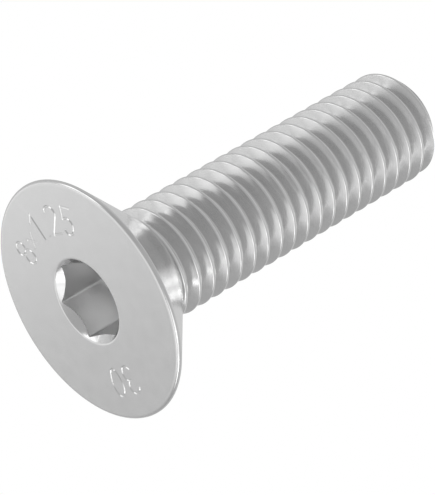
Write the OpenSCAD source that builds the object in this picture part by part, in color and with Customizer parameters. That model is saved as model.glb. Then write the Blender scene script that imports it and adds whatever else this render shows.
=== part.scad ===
// Countersunk screw with a hexagon socket, threaded up to the head.
// It stands on the flat face of its head, with its axis along Z and the origin in the middle of the face.

/* [Screw] */
// Length over all, from the face of the head to the point
length = 29.6; // [16:0.1:45]

/* [Head] */
// Diameter of the head at its rim
head_d = 16.7; // [15:0.1:18]
// Included angle of the countersunk cone
cone_angle = 90; // [85:1:100]
// Height from the face to the start of the cone
rim_h = 0.3; // [0.25:0.05:1]
// Radius of the rounded edge between the face and the rim
rim_round = 0.2; // [0.1:0.05:0.25]

/* [Socket] */
// Width across the flats of the hexagon
socket_af = 5.02; // [4:0.02:5.2]
// Depth of the flats, from the face
socket_depth = 3.7; // [2.5:0.1:4]
// Diameter of the mouth, where its cone meets the face
mouth_d = 6; // [6:0.1:7.5]
// Included angle of the cone at the mouth
mouth_angle = 90; // [80:1:120]
// Radius of the rounded edge between the mouth and the face
mouth_round = 0.15; // [0.05:0.05:0.3]
// Included angle of the drilled bottom
drill_angle = 120; // [100:1:140]

/* [Thread] */
// Diameter over the crests
thread_d = 7.85; // [7.7:0.01:8.5]
// Distance from one crest to the next
pitch = 1.25; // [0.75:0.05:1.5]
// Turn about the screw, from a corner of the hexagon, to where the first crest comes out of the cone
thread_turn = 227; // [0:1:359]
// Diameter of the flat end at the point
point_d = 6; // [4:0.1:6.4]
// Included angle of the bevel round the point
point_angle = 90; // [60:1:120]

/* [Hidden] */
$fn = 96;
// Flank angle of a metric thread, from a plane across the screw
flank = 30;
// Overlap that keeps two joined or cut faces from lying on each other
lap = 0.5;
// Straight sides that one turn of the thread is drawn with
turn_sides = 40;

head_r = head_d / 2;
crest_r = thread_d / 2;
point_r = point_d / 2;
mouth_r = mouth_d / 2;

// The thread's section: crests flat over an eighth of the pitch, and round roots that the flanks run into
crest_half = pitch / 16;
root_round = pitch * cos(flank) / 6;
root_half = root_round * cos(flank);
sharp_r = crest_r - (pitch / 2 - crest_half) / tan(flank);
root_r = sharp_r + root_round;
root_edge_r = root_r + root_round * (1 - sin(flank));
tooth = [
    [-crest_half, crest_r],
    [crest_half, crest_r],
    [pitch / 2 - root_half, root_edge_r],
    [pitch / 2, root_r],
    [pitch / 2 + root_half, root_edge_r]
];
tooth_points = len(tooth);

// The cone runs on into the core, to under the roots of the thread
cone_half = cone_angle / 2;
core_r = root_r - lap / 2;
cone_end = rim_h + (head_r - core_r) / tan(cone_half);

// Height at which the cone is as narrow as the crests, and turns of the skin, one of them inside the head
thread_start = rim_h + (head_r - crest_r) / tan(cone_half);
turns = ceil((length - thread_start) / pitch) + 3;
rows = turns * tooth_points;

// Height that the bevel of the point takes for each step outwards
bevel_slope = 1 / tan(point_angle / 2);

// One corner of the thread's skin: side i of a turn, row j along the screw
function skin(i, j) =
    let (
        t = floor(j / tooth_points) + i / turn_sides,
        p = tooth[j % tooth_points],
        a = thread_turn + 360 * i / turn_sides
    )
    [p[1] * cos(a), p[1] * sin(a), thread_start + pitch * (t - 1) + p[0]];

// Number of a corner in the list: a row that has gone round once goes on one tooth further up
function at(i, j) = i < turn_sides ? j * turn_sides + i : at(0, j + tooth_points);

// The rim with its rounded edge and the cone, in section
module head_section() {
    edge = head_r - rim_round;
    difference() {
        polygon([[0, 0], [head_r, 0], [head_r, rim_h], [core_r, cone_end], [0, cone_end]]);
        difference() {
            translate([edge, -lap]) square([rim_round + lap, rim_round + lap]);
            translate([edge, rim_round]) circle(rim_round);
        }
    }
}

// The threaded rod as one closed skin, from inside the head to past the point
module thread() {
    last = rows - tooth_points;
    corners = [for (j = [0:rows - 1]) for (i = [0:turn_sides - 1]) skin(i, j)];
    low = len(corners);
    high = low + 1;
    ends = [
        [0, 0, thread_start - pitch],
        [0, 0, thread_start + pitch * (turns - 2)]
    ];
    sides = [
        for (j = [0:last - 2]) for (i = [0:turn_sides - 1])
            each [
                [at(i, j), at(i, j + 1), at(i + 1, j)],
                [at(i + 1, j), at(i, j + 1), at(i + 1, j + 1)]
            ]
    ];
    start = [
        for (i = [0:turn_sides - 1]) [low, at(i, 0), at(i + 1, 0)],
        for (j = [0:tooth_points - 1]) [low, at(0, j + 1), at(0, j)]
    ];
    end = [
        for (i = [0:turn_sides - 1]) [high, at(i + 1, last - 1), at(i, last - 1)],
        for (j = [0:tooth_points - 1]) [high, at(0, last - 1 + j), at(0, last + j)]
    ];
    polyhedron(concat(corners, ends), concat(sides, start, end));
}

// The rod ends flat at the point, with a bevel that cuts away the tops of the last crests
module pointed_thread() {
    out = lap + crest_r - point_r;
    intersection() {
        thread();
        rotate_extrude() polygon([
            [0, 0], [point_r + out, 0], [point_r + out, length - out * bevel_slope],
            [point_r, length], [0, length]
        ]);
    }
}

// The cone of the mouth in section, opening into the face round a rounded edge
module mouth_section() {
    half = mouth_angle / 2;
    edge = mouth_r + mouth_round * (1 - sin(half)) / cos(half);
    difference() {
        polygon([
            [0, -lap], [edge, -lap], [edge, mouth_round],
            [edge - mouth_round * cos(half), mouth_round * (1 - sin(half))],
            [0, mouth_r / tan(half)]
        ]);
        translate([edge, mouth_round]) circle(mouth_round);
    }
}

// Hexagon, drilled bottom and mouth of the socket
module socket() {
    flat_r = socket_af / 2;
    translate([0, 0, -lap]) cylinder(h = socket_depth + lap, r = flat_r / cos(30), $fn = 6);
    translate([0, 0, socket_depth - lap]) rotate_extrude() polygon([
        [0, 0], [flat_r, 0], [flat_r, lap], [0, lap + flat_r / tan(drill_angle / 2)]
    ]);
    rotate_extrude() mouth_section();
}

module screw() {
    color("silver")
        difference() {
            union() {
                rotate_extrude() head_section();
                pointed_thread();
            }
            socket();
        }
}

screw();
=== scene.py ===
"""A countersunk socket screw in satin stainless steel, dressed round its solid in a plain pale studio."""

import logging
import math
from bisect import bisect_right
from dataclasses import dataclass, field
from enum import Enum

import bmesh
import bpy
from mathutils import Matrix, Vector
from mathutils.geometry import delaunay_2d_cdt, intersect_point_line


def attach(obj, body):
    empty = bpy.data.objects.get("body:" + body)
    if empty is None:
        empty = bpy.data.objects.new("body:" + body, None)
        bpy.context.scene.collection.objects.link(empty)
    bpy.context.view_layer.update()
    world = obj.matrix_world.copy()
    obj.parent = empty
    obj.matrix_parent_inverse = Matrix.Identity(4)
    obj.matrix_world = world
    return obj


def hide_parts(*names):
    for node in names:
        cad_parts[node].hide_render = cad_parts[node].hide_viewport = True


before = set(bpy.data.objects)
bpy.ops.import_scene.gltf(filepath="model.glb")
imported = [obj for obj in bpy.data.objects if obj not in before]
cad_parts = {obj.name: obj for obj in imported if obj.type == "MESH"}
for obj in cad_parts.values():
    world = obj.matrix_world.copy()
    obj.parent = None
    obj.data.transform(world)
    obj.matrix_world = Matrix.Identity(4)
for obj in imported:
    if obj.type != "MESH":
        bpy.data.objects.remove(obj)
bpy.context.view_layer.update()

# Sizes are written in millimetres, and meshes, places and shaders take them in metres
MM = 0.001
BODY = "root"
NODE = "screw"
PIECE = "satin_screw"
WHITE = (1, 1, 1, 1)
# Degrees that one straight step of a curved stroke takes, and the fewest steps that a curve has
BOW_STEP = 12
LEAST_BOW_STEPS = 3
log = logging.getLogger(NODE)

# Two numbers that give a point of a section, a stroke or an outline
Spot = tuple[float, float]
# Points of a section: their heights over the face of the head and their distances from the axis
Section = list[Spot]
# Points of a stroke or an outline in a plane
Path = list[Spot]
# A colour with its alpha
Rgba = tuple[float, float, float, float]


def radius_at(line: Section, height: float) -> float | None:
    """Reads a section line at one height.

    Args:
        line: Points of the line, with rising heights.
        height: Where to read it.

    Returns:
        The line's radius there, or None past its ends.
    """
    if not line[0][0] <= height <= line[-1][0]:
        return None
    k = min(bisect_right(line, (height, math.inf)), len(line) - 1)
    (low, inner), (high, outer) = line[k - 1], line[k]
    return outer if high == low else inner + (outer - inner) * (height - low) / (high - low)


def joined(first: Section, second: Section, outermost: bool) -> Section:
    """Joins two section lines where they run over each other, with a point where they cross.

    Args:
        first: Points of one line, with rising heights.
        second: Points of the other.
        outermost: Whether the wider line wins, as when two solids join, or the narrower one,
            as when one cuts the other.

    Returns:
        The points of the winning line, in the order of their heights.
    """
    sign = 1 if outermost else -1
    own = ({z for z, _ in first}, {z for z, _ in second})
    kept: Section = []
    before: Spot | None = None
    for z in sorted(own[0] | own[1]):
        a, b = radius_at(first, z), radius_at(second, z)
        if a is None or b is None:
            kept.append((z, b if a is None else a))
            before = None
            continue
        lead = sign * (a - b)
        if before is not None and before[1] * lead < 0:
            cross = before[0] + (z - before[0]) * before[1] / (before[1] - lead)
            kept.append((cross, radius_at(first, cross)))
        if z in own[0 if lead >= 0 else 1]:
            kept.append((z, a if lead >= 0 else b))
        before = (z, lead)
    return kept


def thinned(line: Section, least: float) -> Section:
    """Leaves out points that lie almost on the one before.

    Args:
        line: Points of a section line.
        least: The least step that stays.

    Returns:
        The points that are left, with the first and the last among them.
    """
    kept = [line[0]]
    for point in line[1:-1]:
        if math.dist(point, kept[-1]) >= least:
            kept.append(point)
    while len(kept) > 1 and math.dist(kept[-1], line[-1]) < least:
        kept.pop()
    return kept + [line[-1]]


def steps_between(start: Spot, stop: Spot, shares: tuple[float, ...]) -> Section:
    """Gives points on the straight line between two others, at the given shares of its length."""
    return [(start[0] + (stop[0] - start[0]) * s, start[1] + (stop[1] - start[1]) * s) for s in shares]


def arc(centre: Spot, radius: float, start: float, stop: float, steps: int) -> Section:
    """Draws an arc in a section.

    Args:
        centre: Height and radius of its centre.
        radius: Radius of the arc, negative for a hollow one.
        start: Angle of its first point in degrees, from outward towards the point of the screw.
        stop: Angle of its last point.
        steps: Number of straight steps.

    Returns:
        The points of the arc, ends included.
    """
    turns = [math.radians(start + (stop - start) * k / steps) for k in range(steps + 1)]
    return [(centre[0] + radius * math.sin(t), centre[1] + radius * math.cos(t)) for t in turns]


@dataclass
class Skin:
    """A closed skin of triangles around the screw, in millimetres."""

    corners: list[Vector] = field(default_factory=list)
    faces: list[tuple[int, int, int]] = field(default_factory=list)

    def corner(self, x: float, y: float, z: float) -> int:
        """Adds a corner and gives its number."""
        self.corners.append(Vector((x, y, z)))
        return len(self.corners) - 1

    def column(self, angle: float, line: Section) -> list[int]:
        """Adds a section line at an angle about the axis, in radians, and gives its corners' numbers."""
        return [self.corner(r * math.cos(angle), r * math.sin(angle), z) for z, r in line]

    def face(self, a: int, b: int, c: int) -> None:
        """Adds a triangle, unless two of its corners are one."""
        if len({a, b, c}) == 3:
            self.faces.append((a, b, c))

    def between(self, left: list[int], right: list[int]) -> None:
        """Fills the strip between two neighbouring columns, always across the shorter diagonal.

        Args:
            left: Corners of one column.
            right: Corners of the next one, counter-clockwise.
        """
        i = j = 0
        at = self.corners
        while i < len(left) - 1 or j < len(right) - 1:
            up_left = math.inf if i == len(left) - 1 else (at[left[i + 1]] - at[right[j]]).length_squared
            up_right = math.inf if j == len(right) - 1 else (at[left[i]] - at[right[j + 1]]).length_squared
            if up_left <= up_right:
                self.face(left[i], right[j], left[i + 1])
                i += 1
            else:
                self.face(left[i], right[j], right[j + 1])
                j += 1

    def around(self, columns: list[list[int]]) -> None:
        """Fills the strips between all columns, and between the last and the first."""
        for left, right in zip(columns, columns[1:] + columns[:1]):
            self.between(left, right)


@dataclass
class Thread:
    """The rolled thread: flat crests with soft edges, straight flanks and round roots.

    Attributes:
        diameter: Over the crests.
        pitch: From one crest to the next.
        start: Height at which the cone of the head is as narrow as the crests.
        turn: Angle about the axis at which the first crest comes out of the cone, in degrees.
        flank: Angle of a flank from a plane across the screw, in degrees.
        crest_round: Radius of the two soft edges of a crest.
        crest_steps: Straight steps in each of those edges.
        root_steps: Straight steps in the round root.
    """

    diameter: float = 7.85
    pitch: float = 1.25
    start: float = 4.725
    turn: float = 227.0
    flank: float = 30.0
    crest_round: float = 0.13
    crest_steps: int = 5
    root_steps: int = 4

    @property
    def crest_half(self) -> float:
        """Half the width of a crest, which is an eighth of the pitch wide before its edges are softened."""
        return self.pitch / 16

    @property
    def root_round(self) -> float:
        """Radius of the round root, a sixth of the height of the sharp thread."""
        return self.pitch * math.cos(math.radians(self.flank)) / 6

    @property
    def root(self) -> float:
        """Radius at the bottom of the root."""
        sharp = self.diameter / 2 - (self.pitch / 2 - self.crest_half) / math.tan(math.radians(self.flank))
        return sharp + self.root_round

    def tooth(self) -> Section:
        """Draws one pitch of the section.

        Returns:
            Points from just before the middle of a crest to the end of the root that follows it.
        """
        swing = 90 - self.flank
        inset = self.crest_half - self.crest_round * math.tan(math.radians(swing / 2))
        crest = self.diameter / 2 - self.crest_round
        rising = arc((-inset, crest), self.crest_round, -swing, 0, self.crest_steps)
        falling = arc((inset, crest), self.crest_round, 0, swing, self.crest_steps)
        hollow = (self.pitch / 2, self.root + self.root_round)
        return rising + falling + arc(hollow, -self.root_round, swing, -swing, self.root_steps)

    def line(self, angle: float, top: float) -> Section:
        """Draws the thread's section at one angle.

        Args:
            angle: Turn about the axis, in radians.
            top: Height that the section has to pass.

        Returns:
            Points from inside the head to past that height.
        """
        tooth = self.tooth()
        points: Section = []
        turns = (angle / math.tau - self.turn / 360) % 1
        while self.start + self.pitch * (turns - 2) < top:
            height = self.start + self.pitch * (turns - 1)
            points += [(height + z, r) for z, r in tooth]
            turns += 1
        return points


@dataclass
class Head:
    """The countersunk head: a flat face with a rounded edge, a low rim, and the cone down to the thread.

    Attributes:
        diameter: At the rim.
        rim_height: From the face to the start of the cone.
        face_round: Radius of the edge between the face and the rim.
        rim_round: Radius of the edge between the rim and the cone.
        cone: Angle of the cone from the axis, in degrees.
        face_steps: Straight steps in the edge of the face.
        rim_steps: Straight steps in the upper edge of the rim.
        cone_rows: Where rows of corners lie on the cone, as shares of its length.
    """

    diameter: float = 16.7
    rim_height: float = 0.3
    face_round: float = 0.27
    rim_round: float = 0.06
    cone: float = 45.0
    face_steps: int = 8
    rim_steps: int = 3
    cone_rows: tuple[float, ...] = (0.01, 0.2, 0.4, 0.6, 0.8, 1.0)

    def line(self, core: float) -> Section:
        """Draws the outside from the edge of the face to inside the thread.

        Args:
            core: Radius at which the cone ends.

        Returns:
            The points of the section line.
        """
        rim = self.diameter / 2
        drop = self.rim_round * math.tan(math.radians(self.cone / 2))
        points = arc((self.face_round, rim - self.face_round), self.face_round, -90, 0, self.face_steps)
        shoulder = (self.rim_height - drop, rim - self.rim_round)
        points += arc(shoulder, self.rim_round, 0, self.cone, self.rim_steps)
        end = (self.rim_height + (rim - core) / math.tan(math.radians(self.cone)), core)
        return points + steps_between(points[-1], end, self.cone_rows)


@dataclass
class Point:
    """The bevelled end of the screw.

    Attributes:
        length: Of the whole screw, from the face of the head.
        diameter: Of the flat end.
        bevel: Angle of the bevel from the axis, in degrees.
        edge_round: Radius of the edge between the bevel and the flat end.
        edge_steps: Straight steps in that edge.
        reach: How far the bevel is drawn outwards of the flat end, to past the crests.
    """

    length: float = 29.6
    diameter: float = 6.0
    bevel: float = 45.0
    edge_round: float = 0.08
    edge_steps: int = 4
    reach: float = 1.5

    def line(self) -> Section:
        """Draws the bevel, from outside the crests, and its soft edge to the flat end.

        Returns:
            The points of the section line.
        """
        radius = self.diameter / 2
        bend = self.edge_round * math.tan(math.radians((90 - self.bevel) / 2))
        start = (self.length - self.reach / math.tan(math.radians(self.bevel)), radius + self.reach)
        centre = (self.length - self.edge_round, radius - bend)
        return [start] + arc(centre, self.edge_round, self.bevel, 90, self.edge_steps)


@dataclass
class Socket:
    """The hexagon socket with soft corners, a coned mouth that scallops its flats, and a drilled bottom.

    Attributes:
        sides: Of the hexagon.
        across_flats: Width of the hexagon.
        depth: Of the flats, from the face.
        mouth_diameter: Where the cone of the mouth would meet the face.
        mouth_cone: Angle of that cone from the axis, in degrees.
        mouth_round: Radius of the edge between the mouth and the face.
        corner_round: Radius of the corners of the hexagon.
        drill: Angle of the drilled bottom from the axis, in degrees.
        drill_play: How far the drill stays off the flats.
        flat_steps: Straight steps along each flat.
        corner_steps: Straight steps in each corner.
        mouth_steps: Straight steps in the edge of the mouth.
        bottom_rows: Where rows of corners lie on the bottom, as shares of its length from the axis.
        wall_rows: Where they lie on the flats, from the bottom up.
        mouth_rows: Where they lie on the cone of the mouth, from the flats up.
    """

    sides: int = 6
    across_flats: float = 5.02
    depth: float = 3.7
    mouth_diameter: float = 6.0
    mouth_cone: float = 45.0
    mouth_round: float = 0.15
    corner_round: float = 0.2
    drill: float = 60.0
    drill_play: float = 0.03
    flat_steps: int = 20
    corner_steps: int = 4
    mouth_steps: int = 5
    bottom_rows: tuple[float, ...] = (0.3, 0.65, 1.0)
    wall_rows: tuple[float, ...] = (0.0, 0.02, 0.25, 0.5, 0.75, 0.98, 1.0)
    mouth_rows: tuple[float, ...] = (0.1, 0.9)

    @property
    def drill_radius(self) -> float:
        """Radius of the drilled bottom."""
        return self.across_flats / 2 - self.drill_play

    @property
    def bottom(self) -> float:
        """Depth of the drilled bottom at the axis."""
        return self.depth + self.drill_radius / math.tan(math.radians(self.drill))

    def outline(self) -> Path:
        """Draws the hexagon once round, with its soft corners.

        Returns:
            The angle in radians and the radius of each point, counter-clockwise from the first corner.
        """
        turn = 360 / self.sides
        corner = self.across_flats / 2 / math.cos(math.radians(turn / 2))
        centre = corner - self.corner_round / math.sin(math.radians(90 - turn / 2))
        bend = []
        for k in range(self.corner_steps + 1):
            lean = math.radians(turn * (k / self.corner_steps - 0.5))
            across = self.corner_round * math.sin(lean)
            bend.append(Vector((centre + self.corner_round * math.cos(lean), across)))
        next_corner = Matrix.Rotation(math.radians(turn), 2) @ bend[0]
        flat = [bend[-1].lerp(next_corner, k / self.flat_steps) for k in range(1, self.flat_steps)]
        turned = [Matrix.Rotation(math.radians(turn * side), 2) for side in range(self.sides)]
        points = [matrix @ point for matrix in turned for point in bend + flat]
        return [(math.atan2(p.y, p.x), p.length) for p in points]

    def line(self, wall: float) -> Section:
        """Draws the socket's section from near the middle of its bottom to the edge of the face.

        Args:
            wall: Distance of the hexagon's wall from the axis.

        Returns:
            The points of the section line.
        """
        cone = math.radians(self.mouth_cone)
        edge = self.mouth_diameter / 2 + self.mouth_round * (1 - math.sin(cone)) / math.cos(cone)
        meet = ((self.mouth_diameter / 2 - wall) / math.tan(cone), wall)
        rounding = arc((self.mouth_round, edge), -self.mouth_round, self.mouth_cone, 90, self.mouth_steps)
        points = steps_between((self.bottom, 0), (self.depth, self.drill_radius), self.bottom_rows)
        points += steps_between((self.depth, wall), meet, self.wall_rows)
        points += steps_between(meet, rounding[0], self.mouth_rows)
        return points + rounding


def bow(x: float, y: float, wide: float, high: float, start: float, stop: float) -> Path:
    """Draws a curved stroke.

    Args:
        x: Middle of the curve across the numeral.
        y: Middle of the curve up the numeral.
        wide: Its half width.
        high: Its half height.
        start: Angle of its first point, from the right, in degrees.
        stop: Angle of its last point.

    Returns:
        The points of the stroke.
    """
    steps = max(LEAST_BOW_STEPS, round(abs(stop - start) / BOW_STEP))
    turns = [math.radians(start + (stop - start) * k / steps) for k in range(steps + 1)]
    return [(x + wide * math.cos(t), y + high * math.sin(t)) for t in turns]


class Numeral(Enum):
    """A plain pressed sign: its width and its strokes, as shares of its height."""

    ZERO = (0.56, [bow(0.28, 0.5, 0.26, 0.48, 0, 360)])
    ONE = (0.4, [[(0.04, 0.76), (0.28, 0.98), (0.28, 0.02)]])
    TWO = (0.56, [bow(0.28, 0.72, 0.25, 0.26, 170, -38) + [(0.03, 0.02), (0.54, 0.02)]])
    THREE = (0.54, [bow(0.26, 0.75, 0.23, 0.23, 155, -90), bow(0.26, 0.27, 0.26, 0.25, 90, -155)])
    FIVE = (0.55, [[(0.5, 0.98), (0.1, 0.98), (0.06, 0.56)] + bow(0.27, 0.31, 0.26, 0.29, 118, -150)])
    EIGHT = (0.54, [bow(0.27, 0.76, 0.21, 0.22, 0, 360), bow(0.27, 0.28, 0.25, 0.26, 0, 360)])
    TIMES = (0.48, [[(0.04, 0.16), (0.44, 0.6)], [(0.04, 0.6), (0.44, 0.16)]])
    STOP = (0.12, [[(0.06, 0.02), (0.06, 0.05)]])


@dataclass
class Mark:
    """A row of plain numerals pressed into the face, on an arc round the socket, with their tops outward.

    Attributes:
        signs: The numerals in their order.
        middle: Angle about the axis of the middle of the row, in degrees.
        foot: Distance of the numerals' feet from the axis.
        height: Of a numeral.
        gap: Between two numerals, as a share of their height.
        half_width: Half the width of a stroke.
        depth: Of a stroke.
        slope: Share of the half width that the side of a stroke takes.
        step: Between two points along a stroke.
        spacing: The least distance between any two points.
        offsets: How far the points beside a stroke lie from its middle, in half widths.
        fan: Directions in which points lie round the end of a stroke, in degrees from straight on.
    """

    signs: tuple[Numeral, ...]
    middle: float
    foot: float = 4.7
    height: float = 2.0
    gap: float = 0.22
    half_width: float = 0.09
    depth: float = 0.054
    slope: float = 0.65
    step: float = 0.07
    spacing: float = 0.018
    offsets: tuple[float, ...] = (0.0, 0.4, 0.7, 1.0, 1.5)
    fan: tuple[float, ...] = (-60, -30, 0, 30, 60)

    def strokes(self) -> list[list[Vector]]:
        """Places the strokes on the face.

        Returns:
            Each stroke's points, closely spaced, in millimetres.
        """
        sizes = [sign.value[0] for sign in self.signs]
        x = -(sum(sizes) + self.gap * (len(sizes) - 1)) / 2
        placed = []
        for sign, width in zip(self.signs, sizes):
            placed += [[self.on_face(x + u, v) for u, v in stroke] for stroke in sign.value[1]]
            x += width + self.gap
        return [self.spaced(stroke) for stroke in placed]

    def on_face(self, along: float, up: float) -> Vector:
        """Bends the row round the socket.

        Args:
            along: Distance along the row from its middle, in numeral heights.
            up: Distance over the numerals' feet, in numeral heights.

        Returns:
            The place of that point on the face.
        """
        angle = math.radians(self.middle) + along * self.height / (self.foot + self.height / 2)
        radius = self.foot + up * self.height
        return Vector((radius * math.cos(angle), radius * math.sin(angle)))

    def spaced(self, stroke: list[Vector]) -> list[Vector]:
        """Puts points at even steps along a stroke.

        Args:
            stroke: The corners of the stroke.

        Returns:
            The points, with the corners among them.
        """
        points = [stroke[0]]
        for start, stop in zip(stroke, stroke[1:]):
            count = max(1, round((stop - start).length / self.step))
            points += [start.lerp(stop, k / count) for k in range(1, count + 1)]
        return points

    def beside(self, stroke: list[Vector]) -> list[Vector]:
        """Gives the points on and beside a stroke that its groove is built on.

        Args:
            stroke: Its closely spaced points.

        Returns:
            The points, with a fan of them round each end.
        """
        points = []
        for k, point in enumerate(stroke):
            along = (stroke[min(k + 1, len(stroke) - 1)] - stroke[max(k - 1, 0)]).normalized()
            across = Vector((-along.y, along.x))
            for offset in self.offsets:
                points += [point + across * side * offset * self.half_width for side in (1, -1)]
            if k in (0, len(stroke) - 1):
                out = along if k else -along
                for turn in self.fan:
                    way = Matrix.Rotation(math.radians(turn), 2) @ out
                    points += [point + way * offset * self.half_width for offset in self.offsets[1:]]
        return points

    def places(self, strokes: list[list[Vector]]) -> list[Vector]:
        """Gives the points that all the grooves are built on, with none too close to another.

        Args:
            strokes: The strokes of all numerals.

        Returns:
            The points on the face.
        """
        kept: list[Vector] = []
        for point in (place for stroke in strokes for place in self.beside(stroke)):
            if all((point - other).length > self.spacing for other in kept):
                kept.append(point)
        return kept

    def pressed(self, strokes: list[list[Vector]], point: Vector) -> float:
        """Works out how deep the face is pressed in at a point.

        Args:
            strokes: The strokes of all numerals.
            point: A place on the face.

        Returns:
            The depth in millimetres, 0 away from the strokes.
        """
        far = 2 * self.height
        distance = math.inf
        for stroke in strokes:
            if (stroke[len(stroke) // 2] - point).length > far:
                continue
            for start, stop in zip(stroke, stroke[1:]):
                foot, share = intersect_point_line(point, start, stop)
                nearest = foot.to_2d() if 0 <= share <= 1 else (start if share < 0 else stop)
                distance = min(distance, (nearest - point).length)
        share = min(1.0, max(0.0, (1 - distance / self.half_width) / self.slope))
        return self.depth * share * share * (3 - 2 * share)


@dataclass
class Screw:
    """The whole screw: one formed and rolled piece of stainless steel.

    Attributes:
        head: The countersunk head.
        thread: The thread.
        point: The bevelled end.
        socket: The hexagon socket.
        marks: The rows of numerals on the face.
        columns: Section lines round the outside.
        core_lap: How far the cone runs on under the roots of the thread.
        least_step: The shortest step between two points of a section line.
        sharp: Angle in degrees from which an edge is shaded sharp.
        shading_weight: How far large faces lead in the even shading, where 50 is not at all.
        face_margin: Width of the strips along both edges of the face.
        weld: Distance at which two points of the face are taken for one.
        hole_share: Share of the mouth's radius inside which the face is left open.
    """

    head: Head = field(default_factory=Head)
    thread: Thread = field(default_factory=Thread)
    point: Point = field(default_factory=Point)
    socket: Socket = field(default_factory=Socket)
    marks: tuple[Mark, ...] = (
        Mark((Numeral.EIGHT, Numeral.TIMES, Numeral.ONE, Numeral.STOP, Numeral.TWO, Numeral.FIVE), 191.5),
        Mark((Numeral.THREE, Numeral.ZERO), 23.5),
    )
    columns: int = 240
    core_lap: float = 0.25
    least_step: float = 0.003
    sharp: float = 28.0
    shading_weight: int = 60
    face_margin: float = 0.04
    weld: float = 0.000001
    hole_share: float = 0.9995

    def section(self, angle: float) -> Section:
        """Draws the outside at one angle, from the edge of the face to the edge of the flat end.

        Args:
            angle: Turn about the axis, in radians.

        Returns:
            The points of the section line.
        """
        length = self.point.length
        cone = self.head.line(self.thread.root - self.core_lap)
        bare = joined(cone, self.thread.line(angle, length), True)
        cut = joined(bare, self.point.line(), False)
        return thinned([(z, r) for z, r in cut if z <= length], self.least_step)

    def outside(self, skin: Skin) -> list[int]:
        """Builds the outside.

        Args:
            skin: Takes the corners and faces.

        Returns:
            The ring of corners round the face.
        """
        end = skin.corner(0, 0, self.point.length)
        half_way = (self.point.length, self.point.diameter / 4)
        columns = []
        for k in range(self.columns):
            angle = math.tau * k / self.columns
            columns.append(skin.column(angle, self.section(angle) + [half_way]) + [end])
        skin.around(columns)
        return [column[0] for column in columns]

    def inside(self, skin: Skin) -> list[int]:
        """Builds the socket.

        Args:
            skin: Takes the corners and faces.

        Returns:
            The ring of corners round its mouth.
        """
        bottom = skin.corner(0, 0, self.socket.bottom)
        columns = []
        for angle, wall in self.socket.outline():
            columns.append([bottom] + skin.column(angle, self.socket.line(wall)))
        skin.around(columns)
        return [column[-1] for column in columns]

    def face(self, skin: Skin, rim: list[int], mouth: list[int]) -> None:
        """Builds the face of the head with its marks pressed in.

        Args:
            skin: Takes the corners and faces.
            rim: Corners round the face.
            mouth: Corners round the socket's mouth.
        """
        count = len(rim)
        numbers = rim + mouth
        points = [skin.corners[k].to_2d() for k in numbers]
        edges = [(k, (k + 1) % count) for k in range(count)]
        edges += [(count + k, count + (k + 1) % len(mouth)) for k in range(len(mouth))]
        strips = [point * (1 - self.face_margin / point.length) for point in points[:count]]
        strips += [point * (1 + self.face_margin / point.length) for point in points[count:]]
        points += strips
        numbers += [skin.corner(p.x, p.y, 0) for p in strips]
        for mark in self.marks:
            strokes = mark.strokes()
            places = mark.places(strokes)
            points += places
            numbers += [skin.corner(p.x, p.y, mark.pressed(strokes, p)) for p in places]
        found, _, triangles, origins, _, _ = delaunay_2d_cdt(points, edges, [], 0, self.weld)
        hole = skin.corners[mouth[0]].to_2d().length * self.hole_share
        for a, b, c in triangles:
            if ((found[a] + found[b] + found[c]) / 3).length > hole:
                skin.face(*(numbers[origins[k][0]] for k in (a, c, b)))

    def build(self) -> bpy.types.Object:
        """Builds the screw as one closed mesh that stands for its node.

        Returns:
            The object.
        """
        skin = Skin()
        self.face(skin, self.outside(skin), self.inside(skin))
        mesh = bpy.data.meshes.new(PIECE)
        mesh.from_pydata([corner * MM for corner in skin.corners], [], skin.faces)
        mesh.shade_smooth()
        mesh.set_sharp_from_angle(angle=math.radians(self.sharp))
        piece = add_object(PIECE, mesh)
        normals = piece.modifiers.new("even_shading", "WEIGHTED_NORMAL")
        normals.keep_sharp = True
        normals.weight = self.shading_weight
        return piece

    def dress(self, piece: bpy.types.Object, finish: "SatinSteel") -> None:
        """Gives the screw its finish and lets it stand for the solid.

        Args:
            piece: The built screw.
            finish: What it is finished in.
        """
        piece.data.materials.append(finish.material())
        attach(piece, BODY)
        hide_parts(NODE)


class Value:
    """A shader socket that carries one number; arithmetic on it adds the nodes that it needs."""

    def __init__(self, graph: "Graph", socket: bpy.types.NodeSocket) -> None:
        """Wraps an output socket of a graph."""
        self.graph = graph
        self.socket = socket

    def __add__(self, other: "Value | float") -> "Value":
        """Adds a number or another value."""
        return self.graph.math("ADD", self, other)

    def __radd__(self, other: float) -> "Value":
        """Adds to a number."""
        return self.graph.math("ADD", other, self)

    def __sub__(self, other: "Value | float") -> "Value":
        """Takes away a number or another value."""
        return self.graph.math("SUBTRACT", self, other)

    def __rsub__(self, other: float) -> "Value":
        """Takes this away from a number."""
        return self.graph.math("SUBTRACT", other, self)

    def __mul__(self, other: "Value | float") -> "Value":
        """Multiplies by a number or another value."""
        return self.graph.math("MULTIPLY", self, other)

    def __rmul__(self, other: float) -> "Value":
        """Multiplies a number."""
        return self.graph.math("MULTIPLY", other, self)

    def below(self, limit: float) -> "Value":
        """Gives 1 where the value is below a limit and 0 elsewhere."""
        return self.graph.math("LESS_THAN", self, limit)

    def clamped(self) -> "Value":
        """Keeps the value between 0 and 1."""
        return self.graph.math("MINIMUM", self.graph.math("MAXIMUM", self, 0.0), 1.0)


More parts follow.
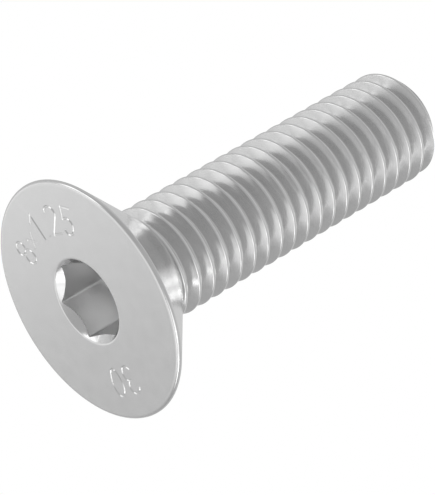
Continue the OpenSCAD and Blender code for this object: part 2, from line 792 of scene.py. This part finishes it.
class Graph:
    """The nodes of one material or world."""

    def __init__(self, owner: bpy.types.Material | bpy.types.World) -> None:
        """Gives a material or world an empty node tree.

        Args:
            owner: The material or world.
        """
        owner.use_nodes = True
        self.tree = owner.node_tree
        self.tree.nodes.clear()

    def node(self, kind: str, settings: dict | None = None, inputs: dict | None = None) -> bpy.types.Node:
        """Adds a node.

        Args:
            kind: The node's type.
            settings: Its own settings, which are set first.
            inputs: Numbers, colours, wrapped values or sockets for its inputs, by name or number.

        Returns:
            The node.
        """
        made = self.tree.nodes.new(kind)
        for name, setting in (settings or {}).items():
            setattr(made, name, setting)
        for name, given in (inputs or {}).items():
            given = given.socket if isinstance(given, Value) else given
            if isinstance(given, bpy.types.NodeSocket):
                self.tree.links.new(given, made.inputs[name])
            else:
                made.inputs[name].default_value = given
        return made

    def math(self, operation: str, first: Value | float, second: Value | float) -> Value:
        """Adds a Math node and gives its result."""
        made = self.node("ShaderNodeMath", {"operation": operation}, {0: first, 1: second})
        return Value(self, made.outputs[0])

    def vector(self, operation: str, inputs: dict) -> bpy.types.Node:
        """Adds a Vector Math node."""
        return self.node("ShaderNodeVectorMath", {"operation": operation}, inputs)

    def mix(self, share: Value, first: Rgba | bpy.types.NodeSocket, second: Rgba) -> bpy.types.NodeSocket:
        """Mixes two colours by a share of the second, through the node's sockets for colours."""
        return self.node("ShaderNodeMix", {"data_type": "RGBA"}, {0: share, 6: first, 7: second}).outputs[2]

    def read(self, node: bpy.types.Node, output: str) -> Value:
        """Wraps an output of a node."""
        return Value(self, node.outputs[output])


@dataclass(frozen=True)
class SatinSteel:
    """Cold formed stainless steel, tumbled to an even satin, and rougher inside the socket as the punch left
    it, where a paler grey is painted light that brightens the recess.

    Attributes:
        dark: The darker of its two greys.
        light: The lighter one.
        painted_socket_light: A paler grey inside the socket, painted light that brightens the recess.
        roughness: Of the satin, on average.
        punched_roughness: Inside the socket.
        mouth_radius: Where the cone of the mouth, which leans at 45 degrees, would meet the face.
        mouth_edge: How fast one finish gives way to the other past that cone, for each metre.
        punched_reach: Distance from the axis that nothing inside the socket passes.
        punched_top: Height over the face that nothing inside the socket passes.
        cloud_scale: Faint clouds to the metre.
        cloud_detail: Layers of finer clouds in them.
        cloud_gloss: How far the clouds change the roughness.
        grain_scale: Marks of the tumbled grain to the metre.
        grain_detail: Layers of finer grain in it.
        grain_gloss: How far the grain changes the roughness.
        grain_height: Of the grain, in metres.
        grain_strength: How much of the grain's relief shows.
    """

    dark: Rgba = (0.65, 0.65, 0.65, 1)
    light: Rgba = (0.69, 0.69, 0.69, 1)
    # Painted light: a paler grey that brightens the socket's recess
    painted_socket_light: Rgba = (0.75, 0.75, 0.75, 1)
    roughness: float = 0.17
    punched_roughness: float = 0.35
    mouth_radius: float = 3.0
    mouth_edge: float = 20000.0
    punched_reach: float = 2.95
    punched_top: float = 6.0
    cloud_scale: float = 900.0
    cloud_detail: float = 3.0
    cloud_gloss: float = 0.08
    grain_scale: float = 9000.0
    grain_detail: float = 2.0
    grain_gloss: float = 0.06
    grain_height: float = 0.000003
    grain_strength: float = 0.35

    def material(self) -> bpy.types.Material:
        """Builds the material: faint clouds, a fine tumbled grain, and a duller socket painted a paler grey,
        as painted light that brightens it.

        Returns:
            The material.
        """
        made = bpy.data.materials.new("satin_stainless")
        graph = Graph(made)
        place = graph.node("ShaderNodeTexCoord").outputs["Object"]
        punched_and_painted_light = self.punched_and_painted_light(graph, place)
        clouds = self.noise(graph, place, self.cloud_scale, self.cloud_detail)
        grain = self.noise(graph, place, self.grain_scale, self.grain_detail)
        roughness = self.roughness + (self.punched_roughness - self.roughness) * punched_and_painted_light
        roughness = roughness + self.cloud_gloss * (clouds - 0.5) + self.grain_gloss * (grain - 0.5)
        satin = graph.mix(clouds, self.dark, self.light)
        bump = graph.node("ShaderNodeBump", None, {
            "Strength": self.grain_strength,
            "Distance": self.grain_height,
            "Height": grain,
        })
        shader = graph.node("ShaderNodeBsdfPrincipled", None, {
            # The socket's paler grey is painted light that brightens the recess
            "Base Color": graph.mix(punched_and_painted_light, satin, self.painted_socket_light),
            "Metallic": 1.0,
            "Roughness": roughness,
            "Normal": bump.outputs["Normal"],
        })
        graph.node("ShaderNodeOutputMaterial", None, {"Surface": shader.outputs["BSDF"]})
        return made

    def punched_and_painted_light(self, graph: Graph, place: bpy.types.NodeSocket) -> Value:
        """Finds the flats and the bottom of the socket, past the cone of its mouth, which take the punched,
        rougher finish and the paler grey of painted light.

        Args:
            graph: Takes the nodes.
            place: The place on the screw.

        Returns:
            A value that is 1 there and 0 elsewhere.
        """
        flat = graph.vector("MULTIPLY", {0: place, 1: (1, 1, 0)})
        reach = graph.read(graph.vector("LENGTH", {0: flat.outputs[0]}), "Value")
        height = graph.read(graph.node("ShaderNodeSeparateXYZ", None, {0: place}), "Z")
        past_mouth = ((reach + height - self.mouth_radius * MM) * self.mouth_edge).clamped()
        return past_mouth * reach.below(self.punched_reach * MM) * height.below(self.punched_top * MM)

    def noise(self, graph: Graph, place: bpy.types.NodeSocket, scale: float, detail: float) -> Value:
        """Adds a noise texture at one scale, in marks to the metre."""
        texture = graph.node("ShaderNodeTexNoise", None, {"Vector": place, "Scale": scale, "Detail": detail})
        return graph.read(texture, "Fac")


def add_object(name: str, data: bpy.types.ID) -> bpy.types.Object:
    """Adds an object to the scene.

    Args:
        name: Its name.
        data: Its mesh, lamp or camera.

    Returns:
        The object.
    """
    made = bpy.data.objects.new(name, data)
    bpy.context.scene.collection.objects.link(made)
    return made


@dataclass(frozen=True)
class Camera:
    """The photograph's camera, fitted to the outlines of the head and the crests.

    Attributes:
        place: Where it stands.
        ahead: The direction in which it looks.
        right: The direction to the right of its picture.
        lens: Its focal length.
        near: Where its view begins.
        far: Where its view ends.
    """

    place: tuple[float, float, float] = (40.2121, -154.4935, -100.4438)
    ahead: tuple[float, float, float] = (-0.200577, 0.795401, 0.571931)
    right: tuple[float, float, float] = (0.610122, -0.355342, 0.708155)
    lens: float = 216.13
    near: float = 10.0
    far: float = 5000.0

    def axes(self) -> tuple[Vector, Vector, Vector]:
        """Gives the directions to the right and to the top of the picture, and back to the camera."""
        right, back = Vector(self.right).normalized(), -Vector(self.ahead).normalized()
        return right, back.cross(right), back

    def way(self, swing: float, turn: float) -> Vector:
        """Gives a direction from the screw into the studio.

        Args:
            swing: Angle from the direction back to the camera, in degrees.
            turn: Side to which it swings, counter-clockwise from the picture's right, in degrees.

        Returns:
            The direction, of length 1.
        """
        right, up, back = self.axes()
        s, t = math.radians(swing), math.radians(turn)
        return (right * math.cos(t) + up * math.sin(t)) * math.sin(s) + back * math.cos(s)

    def build(self) -> bpy.types.Object:
        """Builds the camera and makes it the scene's own.

        Returns:
            The camera.
        """
        data = bpy.data.cameras.new("front_camera")
        data.lens = self.lens
        data.clip_start, data.clip_end = self.near * MM, self.far * MM
        made = add_object("front_camera", data)
        made.matrix_world = Matrix(self.axes()).transposed().to_4x4()
        made.location = Vector(self.place) * MM
        bpy.context.scene.camera = made
        return made


@dataclass(frozen=True)
class Lamp:
    """A soft square lamp over the floor, which the metal does not show.

    Attributes:
        name: Of the lamp.
        azimuth: Side on which it stands, from the front towards the right, in degrees.
        elevation: Angle over the floor, in degrees.
        size: Length of its sides.
        level: How bright it makes a white surface that faces it, where 1 is white.
        distance: From the point that it faces.
    """

    name: str
    azimuth: float
    elevation: float
    size: float
    level: float
    distance: float = 500.0

    def build(self, aim: Vector) -> bpy.types.Object:
        """Builds the lamp.

        Args:
            aim: The point that the lamp faces.

        Returns:
            The lamp.
        """
        a, e = math.radians(self.azimuth), math.radians(self.elevation)
        way = Vector((math.sin(a) * math.cos(e), -math.cos(a) * math.cos(e), math.sin(e)))
        light = bpy.data.lights.new(self.name, "AREA")
        light.size = self.size * MM
        light.energy = self.level * (math.pi * self.distance * MM) ** 2
        made = add_object(self.name, light)
        made.matrix_world = way.to_track_quat("Z", "Y").to_matrix().to_4x4()
        made.location = (aim + way * self.distance) * MM
        made.visible_glossy = False
        return made


@dataclass(frozen=True)
class Card:
    """A round curved card with a soft edge that shows in the metal only.

    Attributes:
        name: Of the card.
        swing: Angle of its middle from the direction back to the camera, in degrees.
        turn: Side to which that swings, counter-clockwise from the picture's right, in degrees.
        full: Angle from its middle to where it begins to fade, in degrees.
        fading: Angle over which it fades, in degrees.
        level: How bright it is, where 1 is white.
        distance: From the point that it is curved round; a nearer card covers one behind it.
        rings: Steps from its middle to its edge.
        segments: Steps round it.
    """

    name: str
    swing: float
    turn: float
    full: float
    fading: float
    level: float
    distance: float
    rings: int = 10
    segments: int = 32

    def build(self, camera: Camera, aim: Vector) -> bpy.types.Object:
        """Builds the card.

        Args:
            camera: Gives the directions.
            aim: The point that the card is curved round.

        Returns:
            The card.
        """
        mesh = self.shape()
        mesh.materials.append(self.paint())
        made = add_object(self.name, mesh)
        made.matrix_world = camera.way(self.swing, self.turn).to_track_quat("Z", "Y").to_matrix().to_4x4()
        made.location = aim * MM
        made.visible_camera = False
        made.visible_diffuse = False
        made.visible_shadow = False
        return made

    def shape(self) -> bpy.types.Mesh:
        """Builds its mesh, a round piece of a ball with its middle along Z.

        Returns:
            The mesh.
        """
        reach = math.radians(self.full + self.fading)
        count = self.segments
        points = [Vector((0, 0, 1))]
        for ring in range(1, self.rings + 1):
            lean = reach * ring / self.rings
            wide, high = math.sin(lean), math.cos(lean)
            turns = [math.tau * k / count for k in range(count)]
            points += [Vector((wide * math.cos(turn), wide * math.sin(turn), high)) for turn in turns]
        faces = [(0, 1 + k, 1 + (k + 1) % count) for k in range(count)]
        for low in range(1, 1 + (self.rings - 1) * count, count):
            high = low + count
            for k in range(count):
                after = (k + 1) % count
                faces.append((low + k, high + k, high + after, low + after))
        mesh = bpy.data.meshes.new(self.name)
        mesh.from_pydata([point * self.distance * MM for point in points], [], faces)
        return mesh

    def paint(self) -> bpy.types.Material:
        """Builds its material, even in the middle and fading to clear at the edge.

        Returns:
            The material.
        """
        made = bpy.data.materials.new(self.name)
        graph = Graph(made)
        place = graph.node("ShaderNodeTexCoord").outputs["Object"]
        even = graph.vector("NORMALIZE", {0: place})
        middle = graph.read(graph.node("ShaderNodeSeparateXYZ", None, {0: even.outputs[0]}), "Z")
        edge = math.cos(math.radians(self.full + self.fading))
        share = ((middle - edge) * (1 / (math.cos(math.radians(self.full)) - edge))).clamped()
        glow = graph.node("ShaderNodeEmission", None, {"Color": WHITE, "Strength": self.level})
        clear = graph.node("ShaderNodeBsdfTransparent")
        mixed = graph.node("ShaderNodeMixShader", None, {0: share, 1: clear.outputs[0], 2: glow.outputs[0]})
        graph.node("ShaderNodeOutputMaterial", None, {"Surface": mixed.outputs[0]})
        return made


@dataclass
class Studio:
    """The pale floor, the white surroundings, the soft lamp and the cards.

    Attributes:
        camera: Gives the directions.
        aim: The point that the lamp faces and the cards are curved round.
        floor_radius: Of the round floor.
        floor_sides: Straight sides of the floor.
        floor_drop: How far the floor lies under the face of the head.
        floor_colour: Of the floor.
        plain_level: How bright the surroundings are where they only give light, where 1 is white.
        lamps: The lamps.
        cards: The cards, from the farthest to the nearest.
    """

    camera: Camera
    aim: tuple[float, float, float] = (0.0, 0.0, 12.0)
    floor_radius: float = 900.0
    floor_sides: int = 96
    floor_drop: float = 0.02
    floor_colour: Rgba = (0.92, 0.92, 0.92, 1)
    plain_level: float = 0.5
    lamps: tuple[Lamp, ...] = (Lamp("overhead_lamp", -35, 58, 300, 0.72),)
    cards: tuple[Card, ...] = (
        Card("broad_low_right_card", 106, 301, 48.4, 5.2, 0.44, 2000),
        Card("broad_upper_card", 36, 77, 61.9, 37.4, 0.52, 1940),
        Card("broad_right_card", 58, 319, 43.3, 34.7, 0.59, 1880),
        Card("broad_back_card", 139, 56, 67.9, 31.3, 0.66, 1820),
        Card("bright_low_card", 79, 273, 5.4, 7.0, 2.70, 1760),
        Card("soft_low_card", 52, 275, 3.4, 25.6, 1.55, 1700),
        Card("bright_back_card", 119, 234, 14.0, 10.6, 2.47, 1640),
        Card("small_upper_left_card", 85, 148, 1.0, 12.5, 2.03, 1580),
        Card("dim_back_card", 115, 235, 23.1, 5.7, 0.49, 1520),
        Card("dark_left_card", 102, 216, 8.1, 7.4, 0.22, 1460),
        Card("dark_low_left_card", 59, 239, 8.2, 13.7, 0.21, 1400),
        Card("left_card", 75, 187, 8.9, 15.7, 1.67, 1340),
        Card("bright_low_left_card", 71, 226, 10.0, 18.2, 2.30, 1280),
        Card("upper_left_card", 66, 150, 2.0, 10.8, 1.99, 1220),
        Card("broad_far_right_card", 110, 357, 43.2, 21.8, 0.75, 1160),
        Card("far_left_card", 108, 191, 15.0, 4.6, 1.10, 1100),
        Card("soft_left_card", 81, 211, 13.9, 32.2, 0.89, 1040),
        Card("small_bright_low_card", 55, 275, 2.1, 5.4, 2.90, 980),
        Card("small_low_card", 91, 270, 3.2, 5.7, 2.00, 920),
    )

    def build(self) -> None:
        """Builds the studio."""
        aim = Vector(self.aim)
        self.surround()
        self.floor()
        for lamp in self.lamps:
            lamp.build(aim)
        for card in self.cards:
            card.build(self.camera, aim)

    def surround(self) -> None:
        """Makes the world white to the camera and in the metal, and a plain level of light elsewhere."""
        world = bpy.data.worlds.new("pale_room")
        bpy.context.scene.world = world
        graph = Graph(world)
        rays = graph.node("ShaderNodeLightPath")
        seen = graph.read(rays, "Is Camera Ray") + graph.read(rays, "Is Glossy Ray")
        shown = (seen + graph.read(rays, "Is Transmission Ray")).clamped()
        sky = graph.node("ShaderNodeBackground", None, {
            "Color": WHITE,
            "Strength": self.plain_level + (1 - self.plain_level) * shown,
        })
        graph.node("ShaderNodeOutputWorld", None, {"Surface": sky.outputs[0]})

    def floor(self) -> bpy.types.Object:
        """Builds the floor under the head.

        Returns:
            The floor.
        """
        shape = bmesh.new()
        radius = self.floor_radius * MM
        bmesh.ops.create_circle(shape, cap_ends=True, segments=self.floor_sides, radius=radius)
        mesh = bpy.data.meshes.new("pale_floor")
        shape.to_mesh(mesh)
        shape.free()
        mesh.materials.append(self.floor_paint())
        made = add_object("pale_floor", mesh)
        made.location.z = -self.floor_drop * MM
        made.visible_diffuse = False
        made.visible_glossy = False
        made.visible_shadow = False
        return made

    def floor_paint(self) -> bpy.types.Material:
        """Builds the floor's material, clear from below, where the camera looks up at the face.

        Returns:
            The material.
        """
        made = bpy.data.materials.new("pale_floor")
        graph = Graph(made)
        paint = graph.node("ShaderNodeBsdfDiffuse", None, {"Color": self.floor_colour})
        clear = graph.node("ShaderNodeBsdfTransparent")
        below = graph.node("ShaderNodeNewGeometry").outputs["Backfacing"]
        sides = graph.node("ShaderNodeMixShader", None, {0: below, 1: paint.outputs[0], 2: clear.outputs[0]})
        graph.node("ShaderNodeOutputMaterial", None, {"Surface": sides.outputs[0]})
        return made


def main() -> None:
    """Builds the screw, its finish, the studio and the camera."""
    logging.basicConfig(level=logging.INFO, format="%(name)s: %(message)s")
    bpy.context.scene.view_settings.view_transform = "Standard"
    camera = Camera()
    camera.build()
    screw = Screw()
    piece = screw.build()
    screw.dress(piece, SatinSteel())
    log.info("%s: %d triangles", piece.name, len(piece.data.polygons))
    Studio(camera).build()


if __name__ == "__main__":
    main()
